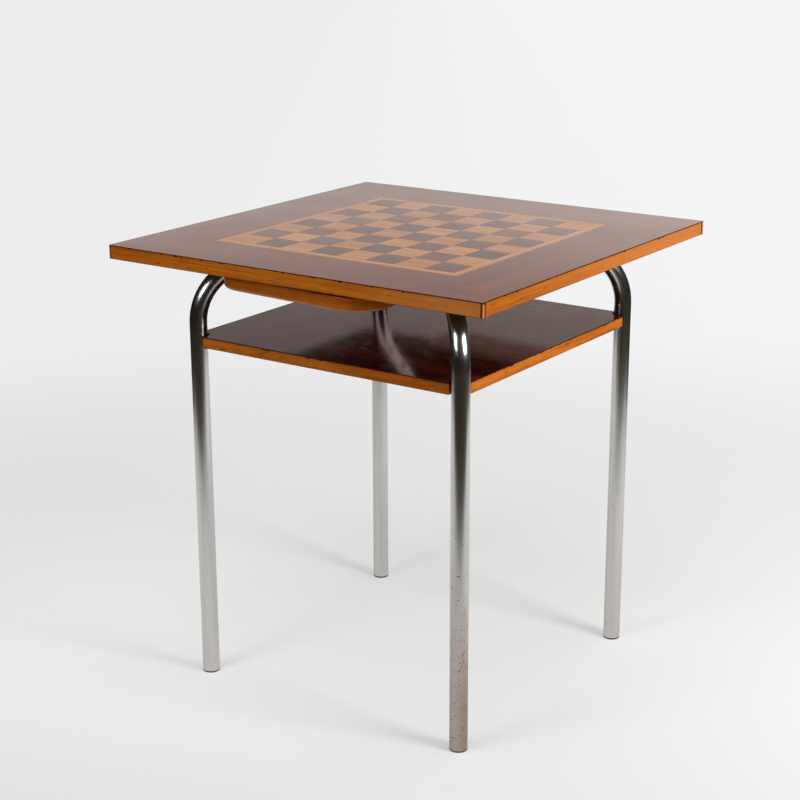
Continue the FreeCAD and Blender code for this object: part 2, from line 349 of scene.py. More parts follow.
# Veneers of the board and its border
borderLook = {
    "deep": (0.100, 0.0125, 0.0036), "main": (0.165, 0.0225, 0.0060), "bright": (0.245, 0.0430, 0.0125),
    "fibre": 300.0, "figure": 40.0, "wander": 0.010, "rough": 0.13, "wear": 0.0035,
    "index": 1.78, "tint": (1.0, 0.47, 0.43),
}
stripLook = {
    "deep": (0.45, 0.138, 0.024), "main": (0.55, 0.196, 0.041), "bright": (0.61, 0.240, 0.056),
    "fibre": 420.0, "figure": 40.0, "wander": 0.003, "rough": 0.15,
}
paleLook = {
    "deep": (0.44, 0.130, 0.019), "main": (0.555, 0.190, 0.034), "bright": (0.61, 0.240, 0.056),
    "fibre": 380.0, "figure": 55.0, "wander": 0.004, "rough": 0.15,
}
darkLook = {
    "deep": (0.058, 0.0080, 0.0058), "main": (0.124, 0.0190, 0.0138), "bright": (0.185, 0.0350, 0.0265),
    "fibre": 360.0, "figure": 60.0, "wander": 0.004, "rough": 0.15,
    "index": 1.67, "tint": (1.0, 0.58, 0.56),
}
veneerFinish = {
    "smear": 8.0, "smearRough": 0.04, "scratchRough": 0.06, "bump": 0.08, "bumpDepth": 0.0004,
    "fibreRise": 0.5, "poreDrop": 0.6, "dentDrop": 0.8, "rubShare": 0.45,
    "rubbed": (0.30, 0.12, 0.045), "nicked": (0.016, 0.007, 0.004),
    "side": (0.055, 0.0125, 0.0034), "sideFacing": (0.8, 0.4),  # sawn edge of the sheet
    "shift": (0.31, 0.17, 0.05),
}


# One tone and one grain shift for each square of the board
def squareTone(tree, place, side):
    cell = vecCalc(tree, "FLOOR", vecCalc(tree, "DIVIDE", place, (side, side, 1.0)))
    chance = put(tree, "ShaderNodeTexWhiteNoise", {"Vector": cell}, noise_dimensions="3D").outputs
    shifted = vecCalc(tree, "MULTIPLY_ADD", chance["Color"], (3.0, 3.0, 3.0), place)
    return chance["Value"], shifted


def wornVeneer(tree, colour, place, width):
    finish = veneerFinish
    inputs = {"Vector": place, "Centre": topCentre, "Half Size": topHalf, "Width": width}
    edge = useGroup(tree, arrisGroup, inputs)
    colour = blendColour(tree, times(tree, edge["Rub"], finish["rubShare"]), colour, finish["rubbed"])
    colour = blendColour(tree, edge["Nick"], colour, finish["nicked"])
    facing = split(tree, put(tree, "ShaderNodeNewGeometry").outputs["Normal"])["Z"]
    return blendColour(tree, fade(tree, facing, *finish["sideFacing"]), colour, finish["side"])


def veneerMaterial(name, look, turn, shift, squareSide=None):
    finish = veneerFinish
    constants = {"IOR": look.get("index", 1.5), "Specular IOR Level": look.get("specular", 0.5)}
    constants["Specular Tint"] = opaque(look.get("tint", (1.0, 1.0, 1.0)))
    material, tree, shader = newMaterial(name, constants)
    place, along = grainPlace(tree, turn, shift)
    tone = None
    if squareSide:
        tone, along = squareTone(tree, along, squareSide)
    grain = grainOf(tree, look, along)
    marks = marksOn(tree, place, finish["smear"])
    colour = woodColour(tree, look, grain, tone)
    if "wear" in look:
        colour = wornVeneer(tree, colour, place, look["wear"])
    rough = calc(tree, "ADD", look["rough"], times(tree, marks["Smear"], finish["smearRough"]))
    rough = calc(tree, "ADD", rough, times(tree, marks["Scratch"], finish["scratchRough"]))
    feed(tree, shader, {"Base Color": colour, "Roughness": rough})
    height = times(tree, grain["Fibre"], finish["fibreRise"])
    height = calc(tree, "SUBTRACT", height, times(tree, grain["Pores"], finish["poreDrop"]))
    height = calc(tree, "SUBTRACT", height, times(tree, marks["Dent"], finish["dentDrop"]))
    addBump(tree, shader, finish, height)
    return material


for i, (side, turn) in enumerate(sideTurns.items()):
    shift = stepped(i, veneerFinish["shift"])
    material = veneerMaterial("borderVeneer_" + side, borderLook, turn, shift)
    dress(material, "border_veneer", "border_veneer_" + side)
print("border veneered")

# Board and strip relaid inside the border at the photograph's widths, with a fine seam round each piece
boardLook = {"square": 0.0525, "perSide": 8, "seam": 0.00015}


def insetOutline(outline, amount):
    points = []
    for i, point in enumerate(outline):
        before = (point - outline[i - 1]).normalized()
        after = (outline[(i + 1) % len(outline)] - point).normalized()
        inward = Vector((-before.y - after.y, before.x + after.x))
        points.append(point + inward * (amount / (1.0 + before.dot(after))))
    return points


def layVeneer(name, outlines, material, node):
    seam = boardLook["seam"]
    low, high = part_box(node)[0][2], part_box(node)[1][2]
    verts, faces = [], []
    for outline in outlines:
        first, count = len(verts), len(outline)
        rings = ((outline, low), (outline, high - seam), (insetOutline(outline, seam), high))
        verts += [(point.x, point.y, height) for ring, height in rings for point in ring]
        faces.append(tuple(reversed(range(first, first + count))))
        for ring in range(2):
            for k in range(count):
                a, b = first + ring * count + k, first + ring * count + (k + 1) % count
                faces.append((a, b, b + count, a + count))
        faces.append(tuple(range(first + 2 * count, first + 3 * count)))
    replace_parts(addPiece(name, verts, faces, material), node)


def relayBoard():
    side, perSide = boardLook["square"], boardLook["perSide"]
    near = side * perSide / 2
    far = -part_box("inlay_strip_front")[0][1]
    squares = {"pale": [], "dark": []}
    for row in range(perSide):
        for column in range(perSide):
            x, y = column * side - near, row * side - near
            ring = ((x, y), (x + side, y), (x + side, y + side), (x, y + side))
            squares["dark" if (row + column) % 2 else "pale"].append([Vector(point) for point in ring])
    for tone, look in (("pale", paleLook), ("dark", darkLook)):
        material = veneerMaterial(tone + "Square", look, 0.0, (0, 0, 0), side)
        pieceName = "board_" + tone + "_squares"
        layVeneer(pieceName, squares[tone], material, tone + "_squares")
    for i, (name, turn) in enumerate(sideTurns.items()):
        spin = Matrix.Rotation(i * quarterTurn, 2)
        ring = ((-far, -far), (far, -far), (near, -near), (-near, -near))
        outline = [spin @ Vector(point) for point in ring]
        shift = stepped(i, veneerFinish["shift"])
        material = veneerMaterial("inlayStrip_" + name, stripLook, turn, shift)
        layVeneer("board_strip_" + name, [outline], material, "inlay_strip_" + name)


relayBoard()
print("board and strip laid")

# Solid lippings: the top's fade paler along their length; the shelf's front and back take a darker copy of
# their wood as painted shade, and their sides a brighter copy as painted light
lippingLook = {
    "top": {
        "deep": (0.300, 0.064, 0.0012), "main": (0.465, 0.117, 0.0028), "bright": (0.640, 0.195, 0.0095),
    },
    # painted shade: the shelf's front and back lippings, the darker copy
    "shelf": {
        "deep": (0.240, 0.046, 0.0012), "main": (0.455, 0.107, 0.0035), "bright": (0.580, 0.165, 0.0100),
    },
    # painted light: the shelf's side lippings, the brighter copy
    "shelfLitSides": {
        "deep": (0.330, 0.074, 0.0040), "main": (0.570, 0.158, 0.0090), "bright": (0.680, 0.230, 0.0220),
    },
    "fibre": 300.0, "figure": 60.0, "wander": 0.004, "rough": 0.42, "specular": 0.12,
    "bump": 0.2, "bumpDepth": 0.0005, "lineDrop": 1.2,
    "smear": 22.0, "smearRough": 0.14, "smearShare": 0.22, "wear": 0.0022, "rubShare": 0.5,
    "fleckStretch": (0.25, 1.0, 1.0), "flecks": 190.0, "fleckRange": (0.62, 0.72), "fleckShare": 0.7,
    # the line colour darkens glue lines, joints and the painted shade along each lipping's lower arris
    "stain": (0.055, 0.017, 0.004), "line": (0.032, 0.0075, 0.0012), "rubbed": (0.66, 0.24, 0.060),
    "pale": (0.63, 0.215, 0.057),
    "paleAlong": {"front": (0.11, 0.31, 0.65), "side": (-0.42, 0.32, 0.75)},  # from, to, how much
    "shift": (0.23, 0.40, 0.09), "shelfShift": 1.3,
}
# Dark lines on a lipping: glue under the veneer, painted shade along the lower arris, the butt joint and
# the corner
lineShape = {
    "veneer": 0.0008, "glue": 0.0009, "glueEdge": (-0.0002, 0.0003),
    "nicks": 120.0, "nickRange": (0.56, 0.66), "nickDepth": 0.0018,
    # the next two values set the painted shade along each lipping's lower arris
    "lowerShadeEdge": (0.0014, 0.0004), "lowerShadeShare": 0.75,
    "joint": 0.3335, "corner": 0.3380, "half": 0.0014, "jointSoft": 0.0008, "cornerSoft": 0.0006,
    "faceEdge": (0.0012, 0.0004), "jointShare": 0.85,
}


# One where a value lies within a half width of a centre, fading out at its edges
def stripe(tree, value, centre, half, soft):
    away = calc(tree, "ABSOLUTE", calc(tree, "SUBTRACT", value, centre))
    return fade(tree, away, half + soft, half)


# One on the outer face that stands at a half size
def onFace(tree, value, half):
    start, end = lineShape["faceEdge"]
    return fade(tree, value, half - start, half - end)


def lippingLinesAndShade(tree, board, place, centre, half):
    shape = lineShape
    x, y, z = split(tree, vecCalc(tree, "ABSOLUTE", place))
    nicks = fade(tree, noise(tree, place, shape["nicks"], 3.0, 0.6), *shape["nickRange"])
    drop = calc(tree, "MULTIPLY_ADD", nicks, shape["nickDepth"], shape["glue"])
    glued = calc(tree, "SUBTRACT", calc(tree, "ADD", z, drop), centre[2] + half[2] - shape["veneer"])
    # painted shade: the lipping darkens towards its lower arris
    start, end = (centre[2] - half[2] + reach for reach in shape["lowerShadeEdge"])
    under = fade(tree, z, start, end, 0.0, shape["lowerShadeShare"])
    dark = calc(tree, "MAXIMUM", fade(tree, glued, *shape["glueEdge"]), under)
    if board == "top":
        joint = stripe(tree, y, shape["joint"], shape["half"], shape["jointSoft"])
        joint = times(tree, joint, onFace(tree, x, half[0]))
        corner = stripe(tree, x, shape["corner"], shape["half"], shape["cornerSoft"])
        corner = times(tree, corner, onFace(tree, y, half[1]))
        either = times(tree, calc(tree, "MAXIMUM", joint, corner), shape["jointShare"])
        dark = calc(tree, "MAXIMUM", dark, either)
    return dark


def lippingMaterial(name, board, turn, shift, centre, half):
    look = lippingLook
    # the shelf's sides get the brighter copy as painted light, its front and back the darker copy as
    # painted shade
    tones = look["shelfLitSides" if board == "shelf" and turn else board]
    material, tree, shader = newMaterial(name, {"IOR": 1.5, "Specular IOR Level": look["specular"]})
    place, along = grainPlace(tree, turn, shift)
    grain = grainOf(tree, look, along)
    inputs = {"Vector": place, "Centre": centre, "Half Size": half, "Width": look["wear"]}
    edge = useGroup(tree, arrisGroup, inputs)
    marks = marksOn(tree, place, look["smear"])
    colour = woodColour(tree, tones, grain)
    drawn = vecCalc(tree, "MULTIPLY", along, look["fleckStretch"])
    flecks = noise(tree, drawn, look["flecks"], 3.0, 0.6)
    flecks = fade(tree, flecks, *look["fleckRange"], 0.0, look["fleckShare"])
    colour = blendColour(tree, flecks, colour, look["stain"])
    colour = blendColour(tree, times(tree, marks["Smear"], look["smearShare"]), colour, tones["deep"])
    colour = blendColour(tree, times(tree, edge["Rub"], look["rubShare"]), colour, look["rubbed"])
    if board == "top":
        axis, way = ("Y", "side") if turn else ("X", "front")
        start, end, share = look["paleAlong"][way]
        faded = fade(tree, split(tree, place)[axis], start, end, 0.0, share)
        colour = blendColour(tree, faded, colour, look["pale"])
    # glue lines, joints and the painted shade along the lower arris, all in one dark colour
    dark = lippingLinesAndShade(tree, board, place, centre, half)
    colour = blendColour(tree, dark, colour, look["line"])
    rough = calc(tree, "ADD", look["rough"], times(tree, marks["Smear"], look["smearRough"]))
    feed(tree, shader, {"Base Color": colour, "Roughness": rough})
    height = calc(tree, "SUBTRACT", grain["Fibre"], times(tree, dark, look["lineDrop"]))
    addBump(tree, shader, look, height)
    return material


for i, (side, turn) in enumerate(sideTurns.items()):
    shift = stepped(i, lippingLook["shift"])
    top = lippingMaterial("topLipping_" + side, "top", turn, shift, topCentre, topHalf)
    dress(top, "lipping_wood", "top_lipping_" + side)
    shift = (shift[0] + lippingLook["shelfShift"], shift[1], shift[2])
    shelf = lippingMaterial("shelfLipping_" + side, "shelf", turn, shift, shelfCentre, shelfHalf)
    dress(shelf, "lipping_wood", "shelf_lipping_" + side)
print("lippings finished")

# Shelf: dark veneer under a glossy, streaky polish
shelfLook = {
    "deep": (0.014, 0.0012, 0.0006), "main": (0.038, 0.0038, 0.0018), "bright": (0.110, 0.0125, 0.0055),
    "fibre": 240.0, "figure": 80.0, "wander": 0.008, "rough": 0.072, "smear": 7.0, "smearRough": 0.02,
    "bump": 0.07, "bumpDepth": 0.0006, "figureRise": 0.5, "poreDrop": 0.35,
    "index": 3.00, "tint": (1.0, 0.66, 0.64), "shift": (0.7, 0.2, 0.0),
}


def shelfMaterial():
    look = shelfLook
    constants = {"IOR": look["index"], "Specular Tint": opaque(look["tint"])}
    material, tree, shader = newMaterial("shelfVeneer", constants)
    place, along = grainPlace(tree, 0.0, look["shift"])
    grain = grainOf(tree, look, along)
    marks = marksOn(tree, place, look["smear"])
    rough = calc(tree, "ADD", look["rough"], times(tree, marks["Smear"], look["smearRough"]))
    feed(tree, shader, {"Base Color": woodColour(tree, look, grain), "Roughness": rough})
    height = calc(tree, "ADD", grain["Fibre"], times(tree, grain["Figure"], look["figureRise"]))
    height = calc(tree, "SUBTRACT", height, times(tree, grain["Pores"], look["poreDrop"]))
    addBump(tree, shader, look, height)
    return material


dress(shelfMaterial(), "shelf_veneer", "shelf_top_veneer")

# Undersides, darkened as painted shade, and cores
# painted shade: the undersides' veneer is darker than its own wood colour, standing in for the shade under
# the top and the shelf
shadedBackingLook = {
    "deep": (0.022, 0.0075, 0.0030), "main": (0.058, 0.0220, 0.0095), "bright": (0.100, 0.0410, 0.0180),
    "fibre": 300.0, "figure": 24.0, "wander": 0.012, "rough": 0.80, "specular": 0.0,
}
coreLook = {
    "deep": (0.050, 0.022, 0.010), "main": (0.120, 0.058, 0.028), "bright": (0.200, 0.105, 0.052),
    "fibre": 260.0, "figure": 70.0, "wander": 0.003, "rough": 0.75, "specular": 0.1,
}
shadedBacking = veneerMaterial("backingVeneerPaintedShade", shadedBackingLook, 0.0, (0.5, 0.9, 0.0))
dress(shadedBacking, "backing_veneer", "top_underside_veneer", "shelf_bottom_veneer")
core = veneerMaterial("coreBoard", coreLook, quarterTurn, (0.2, 0.1, 0.0))
dress(core, "core_board", "top_core", "shelf_core")
print("shelf and undersides finished")

# Trays: a bent rim, so the grain follows it round the ends, and a plywood base
trayLook = {
    "deep": (0.205, 0.037, 0.0014), "main": (0.368, 0.081, 0.0031), "bright": (0.500, 0.135, 0.0090),
    "fibre": 280.0, "figure": 60.0, "wander": 0.003, "rough": 0.20,
}
plyLook = {
    "deep": (0.10, 0.032, 0.009), "main": (0.20, 0.072, 0.022), "bright": (0.29, 0.115, 0.040),
    "fibre": 260.0, "figure": 30.0, "wander": 0.008, "rough": 0.55,
}
trayFinish = {
    "smear": 30.0, "smearRough": 0.12, "smearShare": 0.25,
    "dentDrop": 0.8, "bump": 0.15, "bumpDepth": 0.0004,
    "blockShift": (0.6, 0.0), "baseShift": (0.3, 0.2),
}
trayShape = {
    "pivot": {"front": (-0.096, -0.271), "back": (0.096, 0.271)},
    "span": 0.192, "reach": 0.050, "turn": -4.0,  # between the round ends, their radius, angle at rest
}


def makeRimGroup():
    tree, entry, out = newGroup("grain round a bent rim", [
        ("Vector", "NodeSocketVector", (0, 0, 0)),
        ("Span", "NodeSocketFloat", 0.2),
        ("Reach", "NodeSocketFloat", 0.05),
    ], ["Along", "Across", "Height"])
    x, y, z = split(tree, entry["Vector"])
    straight = calc(tree, "MAXIMUM", calc(tree, "MINIMUM", x, entry["Span"]), 0.0)
    beyond = calc(tree, "SUBTRACT", x, straight)
    bend = calc(tree, "ARCTAN2", beyond, calc(tree, "ABSOLUTE", y))
    flat = put(tree, "ShaderNodeCombineXYZ", {"X": beyond, "Y": y}).outputs[0]
    feed(tree, out, {
        "Along": calc(tree, "MULTIPLY_ADD", bend, entry["Reach"], straight),
        "Across": vecMeasure(tree, "LENGTH", flat),
        "Height": z,
    })
    return tree


rimGroup = makeRimGroup()


def trayMaterial(name, look, end, bent, shift):
    finish, shape = trayFinish, trayShape
    halfTurn = math.pi if end == "back" else 0.0
    material, tree, shader = newMaterial(name, {"IOR": 1.5})
    place = objectPlace(tree)
    angle = math.radians(shape["turn"]) + halfTurn
    turn = {"Vector": place, "Location": (*shape["pivot"][end], 0.0), "Rotation": (0, 0, angle)}
    along = put(tree, "ShaderNodeMapping", turn, vector_type="TEXTURE").outputs[0]
    if bent:
        inputs = {"Vector": along, "Span": shape["span"], "Reach": shape["reach"]}
        rim = useGroup(tree, rimGroup, inputs)
        unrolled = {"X": rim["Along"], "Y": rim["Across"], "Z": rim["Height"]}
        along = put(tree, "ShaderNodeCombineXYZ", unrolled).outputs[0]
    grain = grainOf(tree, look, vecCalc(tree, "ADD", along, (halfTurn, *shift)))
    marks = marksOn(tree, place, finish["smear"])
    smeared = times(tree, marks["Smear"], finish["smearShare"])
    colour = blendColour(tree, smeared, woodColour(tree, look, grain), look["deep"])
    rough = calc(tree, "ADD", look["rough"], times(tree, marks["Smear"], finish["smearRough"]))
    feed(tree, shader, {"Base Color": colour, "Roughness": rough})
    height = calc(tree, "SUBTRACT", grain["Fibre"], times(tree, marks["Dent"], finish["dentDrop"]))
    addBump(tree, shader, finish, height)
    return material


ends = ("front", "back")
for end in ends:
    rim = trayMaterial(end + "TrayRim", trayLook, end, True, (0.0, 0.0))
    dress(rim, "tray_wood", end + "_tray_rim")
    block = trayMaterial(end + "TrayBlock", trayLook, end, False, trayFinish["blockShift"])
    dress(block, "tray_wood", end + "_pivot_block", end + "_stop_peg")
    base = trayMaterial(end + "TrayBase", plyLook, end, False, trayFinish["baseShift"])
    dress(base, "tray_base_wood", end + "_tray_base")
print("trays finished")

# Plated tubes and lugs
tubeLook = {
    "bright": (0.66, 0.652, 0.636), "hazy": (0.59, 0.579, 0.558),
    "bloom": (0.290, 0.165, 0.112), "pit": (0.065, 0.042, 0.028),
    "index": 2.0, "drawn": 0.7, "rough": 0.18, "hazeRough": 0.05, "dull": 0.12, "spoiltRough": 0.35,
    "bloomHeight": 0.42, "bloomSpoils": 0.6, "metalLost": 0.75, "leastPits": 0.3,
    # rust blooms most on the side of a leg that faces this way
    "rustSide": (0.7071, 0.7071, 0.0), "rustFacing": (-0.75, 0.55), "sheltered": 0.62,
    "bump": 0.12, "bumpDepth": 0.0003, "hazeRise": 0.02,
    "bloomShare": {"leg_hoop": 0.10, "front_right_leg": 1.0, "back_left_leg": 0.10}, "smallShare": 0.5,
}
cornerSigns = {
    "front_left": (-1, -1), "front_right": (1, -1), "back_right": (1, 1), "back_left": (-1, 1),
}


def tubeMaterial(name, bloomShare):
    look = tubeLook
    material, tree, shader = newMaterial(name, {"IOR": look["index"], "Anisotropic": look["drawn"]})
    coords = put(tree, "ShaderNodeTexCoord").outputs
    inputs = {"Vector": coords["Object"], "Bloom Height": look["bloomHeight"]}
    age = useGroup(tree, platingGroup, inputs)
    colour = blendColour(tree, age["Haze"], look["bright"], look["hazy"])
    facing = vecMeasure(tree, "DOT_PRODUCT", coords["Normal"], look["rustSide"])
    exposed = fade(tree, facing, *look["rustFacing"])
    exposed = calc(tree, "MULTIPLY_ADD", exposed, 1.0 - look["sheltered"], look["sheltered"])
    bloom = times(tree, times(tree, age["Bloom"], exposed), bloomShare)
    colour = blendColour(tree, bloom, colour, look["bloom"])
    pits = times(tree, age["Pits"], min(1.0, look["leastPits"] + bloomShare))
    colour = blendColour(tree, pits, colour, look["pit"])
    spoilt = calc(tree, "MAXIMUM", times(tree, bloom, look["bloomSpoils"]), pits)
    metal = calc(tree, "SUBTRACT", 1.0, times(tree, spoilt, look["metalLost"]))
    rough = calc(tree, "MULTIPLY_ADD", age["Haze"], look["hazeRough"], look["rough"])
    rough = calc(tree, "MULTIPLY_ADD", age["Dull"], look["dull"], rough)
    rough = calc(tree, "MULTIPLY_ADD", spoilt, look["spoiltRough"], rough)
    feed(tree, shader, {"Base Color": colour, "Metallic": metal, "Roughness": rough})
    addBump(tree, shader, look, calc(tree, "SUBTRACT", times(tree, age["Haze"], look["hazeRise"]), pits))
    return material


for name, share in tubeLook["bloomShare"].items():
    dress(tubeMaterial("tube_" + name, share), "tube_chrome", name)
lugPlating = tubeMaterial("lugPlating", tubeLook["smallShare"])
dress(lugPlating, "lug_chrome", *[corner + "_lug" for corner in cornerSigns])
print("tubes plated")

# Weld beads: where the half arms meet the hoop, and where the lugs meet the legs
weldLook = {
    "bead": 0.0017, "sides": 10, "ripple": 0.14, "pitch": 0.0022, "taper": 8.0, "leastTaper": 0.06,
    "tube": 0.014, "arm": 0.694, "crossingSteps": 180, "crossingStart": 46.0, "crossingSweep": 272.0,
    "leg": 0.246, "lug": 0.5588, "lugSteps": 48, "lugSpread": 56.0, "lugReach": 1.02,
}


def addBead(name, path, material):
    look, count = weldLook, weldLook["sides"]
    last = len(path) - 1
    verts, faces = [], []
    travel = 0.0
    for i, point in enumerate(path):
        before, after = path[max(i - 1, 0)], path[min(i + 1, last)]
        along = (after - before).normalized()
        side = along.orthogonal() if i == 0 else side - along * side.dot(along)
        side.normalize()
        lift = along.cross(side)
        travel += (point - before).length
        rise = min(1.0, look["taper"] * min(i, last - i) / len(path))
        size = look["bead"] * math.sqrt(max(look["leastTaper"], rise))
        size *= 1.0 + look["ripple"] * math.sin(2 * math.pi * travel / look["pitch"])
        for k in range(count):
            angle = 2 * math.pi * k / count
            verts.append(point + size * (math.cos(angle) * side + math.sin(angle) * lift))
    for i in range(last):
        for k in range(count):
            a, b = i * count + k, i * count + (k + 1) % count
            faces.append((a, b, b + count, a + count))
    faces.append(tuple(reversed(range(count))))
    faces.append(tuple(range(len(verts) - count, len(verts))))
    piece = addPiece(name, verts, faces, material)
    piece.data.polygons.foreach_set("use_smooth", [len(face) == 4 for face in faces])


def addWelds():
    look, r = weldLook, weldLook["tube"]
    material = tubeMaterial("weldPlating", tubeLook["smallShare"])
    hoop, half = Vector((1, 1, 0)).normalized(), Vector((1, -1, 0)).normalized()
    steps = look["crossingSteps"]
    for name, sign in (("crossing_weld_front", 1.0), ("crossing_weld_back", -1.0)):
        path = []
        for i in range(steps + 1):
            turn = math.radians(look["crossingStart"] - look["crossingSweep"] * i / steps)
            away = half * (sign * r * abs(math.cos(turn))) + hoop * (r * math.cos(turn))
            path.append(away + Vector((0, 0, look["arm"] + r * math.sin(turn))))
        addBead(name, path, material)
    steps, leg, reach = look["lugSteps"], look["leg"], look["lugReach"] * r
    for corner, (x, y) in cornerSigns.items():
        inward = math.atan2(-y, -x)
        path = []
        for i in range(steps + 1):
            turn = inward + math.radians(look["lugSpread"] * (2 * i / steps - 1.0))
            place = (x * leg + reach * math.cos(turn), y * leg + reach * math.sin(turn), look["lug"])
            path.append(Vector(place))
        addBead(corner + "_lug_weld", path, material)


addWelds()
print("welds laid")

# Screws, washers and bushes
metalLook = {
    "steel": {"bright": (0.46, 0.45, 0.43), "dull": (0.20, 0.17, 0.14), "rough": 0.28},
    "brass": {"bright": (0.66, 0.45, 0.16), "dull": (0.30, 0.18, 0.06), "rough": 0.26},
    "smear": 160.0, "smearRough": 0.25, "tarnish": 420.0, "tarnishRange": (0.42, 0.66),
    "bump": 0.1, "bumpDepth": 0.0002,
}


def fittingMaterial(name, metal):
    look, tones = metalLook, metalLook[metal]
    material, tree, shader = newMaterial(name, {"Metallic": 1.0})
    place = objectPlace(tree)
    marks = marksOn(tree, place, look["smear"])
    tarnish = noise(tree, place, look["tarnish"], 4.0, 0.65)
    tarnished = fade(tree, tarnish, *look["tarnishRange"])
    colour = blendColour(tree, tarnished, tones["bright"], tones["dull"])
    rough = calc(tree, "MULTIPLY_ADD", marks["Smear"], look["smearRough"], tones["rough"])
    feed(tree, shader, {"Base Color": colour, "Roughness": rough})
    addBump(tree, shader, look, tarnish)
    return material


steel = fittingMaterial("fixingSteel", "steel")
brass = fittingMaterial("pivotBrass", "brass")
dress(steel, "steel", "top_screws", "shelf_screws")
for end in ends:
    dress(steel, "steel", end + "_pivot_screw", end + "_pivot_washer")
    dress(brass, "brass", end + "_pivot_bush", end + "_pivot_spacer")

# Foot plugs
footLook = {
    "black": (0.055, 0.053, 0.050), "scuffed": (0.095, 0.088, 0.080), "rough": 0.5, "wornRough": 0.3,
    "scuffStretch": (1.0, 1.0, 3.0), "scuffs": 170.0, "scuffRange": (0.46, 0.70),
    "bump": 0.2, "bumpDepth": 0.0003,
}


def footMaterial():
    look = footLook
    material, tree, shader = newMaterial("footPlug", {"IOR": 1.5})
    place = vecCalc(tree, "MULTIPLY", objectPlace(tree), look["scuffStretch"])
    scuffs = noise(tree, place, look["scuffs"], 5.0, 0.7)
    worn = fade(tree, scuffs, *look["scuffRange"])
    rough = calc(tree, "MULTIPLY_ADD", worn, look["wornRough"], look["rough"])
    colour = blendColour(tree, worn, look["black"], look["scuffed"])
    feed(tree, shader, {"Base Color": colour, "Roughness": rough})
    addBump(tree, shader, look, scuffs)
    return material


dress(footMaterial(), "foot_plastic", *[corner + "_foot" for corner in cornerSigns])
print("fixings and feet finished")

# Studio: pale floor, white surround, three soft lights, a darker room on the viewer's side
viewerSide = (0.561, -0.828, 0.0)
viewerRight = (0.828, 0.561, 0.0)
backdropLevel = 0.855
paper = {
    "size": 20.0, "grey": 0.85, "room": (0.050, 0.040, 0.026),
    "front": 1.00, "side": 1.62, "back": 1.30, "edge": (0.98, 1.20), "turnBack": (-0.9, -0.1),
    "shadowShare": 0.74, "shadowReach": (0.6, 2.4),
    "glow": (0.41, 0.165), "glowReach": (-0.2, 1.0),
    "acrossGlow": (0.985, 1.06), "acrossReach": (-1.2, 1.2),
}
surround = {
    "fall": (
        (0.185, 1.10), (0.200, 0.96), (0.212, 0.76), (0.224, 0.41),
        (0.238, 0.295), (0.250, 0.33), (0.262, 0.36), (0.33, 0.0),
    ),
    "warmth": 0.955, "right": 2.3, "edge": (-0.94, -0.88),
    "ambient": 0.16, "walls": (0.008, 0.006, 0.005),
    "shine": 1.3, "shineFrom": (0.93, 0.36, 0.0), "shineSpread": (0.15, 0.85), "shineHeight": (0.80, 0.10),
}
softLights = {
    "keySoftbox": {
        "heading": -1.0, "distance": 2.35, "height": 1.45,
        "size": (0.85, 0.85), "watts": 38.0, "colour": (1.0, 0.99, 0.96),
    },
    "fillSoftbox": {
        "heading": -104.0, "distance": 2.22, "height": 1.45,
        "size": (0.85, 0.85), "watts": 12.5, "colour": (0.96, 0.98, 1.0),
    },
    "overheadSoftbox": {
        "heading": -80.0, "distance": 0.8, "height": 2.60,
        "size": (1.5, 1.5), "watts": 17.5, "colour": (1.0, 0.995, 0.98),
    },
}
lightAim = (0.0, 0.0, 0.65)


# Paper floor: seen directly it glows to white, in the wood's gloss it ends in a dark room
def paperMaterial():
    material = bpy.data.materials.new("paperSweep")
    material.use_nodes = True
    tree = material.node_tree
    tree.nodes.clear()
    place = objectPlace(tree)
    rays = put(tree, "ShaderNodeLightPath").outputs
    towards = vecMeasure(tree, "DOT_PRODUCT", place, viewerSide)
    sideways = vecMeasure(tree, "DOT_PRODUCT", place, viewerRight)
    distance = vecMeasure(tree, "LENGTH", place)
    forward = calc(tree, "DIVIDE", calc(tree, "MAXIMUM", towards, 0.0), paper["front"])
    width = fade(tree, towards, *paper["turnBack"], paper["back"], paper["side"])
    aside = calc(tree, "DIVIDE", sideways, width)
    reach = calc(tree, "MULTIPLY_ADD", forward, forward, times(tree, aside, aside))
    beyond = fade(tree, calc(tree, "SQRT", reach), *paper["edge"])
    beyond = times(tree, beyond, calc(tree, "SUBTRACT", 1.0, rays["Is Camera Ray"]))
    within = times(tree, rays["Is Glossy Ray"], calc(tree, "SUBTRACT", 1.0, beyond))
    seen = calc(tree, "MAXIMUM", rays["Is Camera Ray"], within)
    share = fade(tree, distance, *paper["shadowReach"], paper["shadowShare"], 0.0)
    keep = calc(tree, "SUBTRACT", 1.0, times(tree, calc(tree, "SUBTRACT", 1.0, share), seen))
    colour = scaled(tree, blendColour(tree, beyond, (paper["grey"],) * 3, paper["room"]), keep)
    near = fade(tree, towards, *paper["glowReach"], *paper["glow"])
    level = fade(tree, distance, *paper["shadowReach"], near, backdropLevel)
    level = times(tree, level, fade(tree, sideways, *paper["acrossReach"], *paper["acrossGlow"]))
    lit = put(tree, "ShaderNodeBsdfDiffuse", {"Color": colour}).outputs[0]
    glow = put(tree, "ShaderNodeEmission", {"Strength": times(tree, level, seen)}).outputs[0]
    both = put(tree, "ShaderNodeAddShader", {0: lit, 1: glow}).outputs[0]
    put(tree, "ShaderNodeOutputMaterial", {"Surface": both})
    return material


def addFloor():
    mesh = bpy.data.meshes.new("studioFloor")
    far = paper["size"]
    corners = [(-far, -far, 0), (far, -far, 0), (far, far, 0), (-far, far, 0)]
    mesh.from_pydata(corners, [], [(0, 1, 2, 3)])
    mesh.materials.append(paperMaterial())
    floor = bpy.data.objects.new("studioFloor", mesh)
    bpy.context.scene.collection.objects.link(floor)


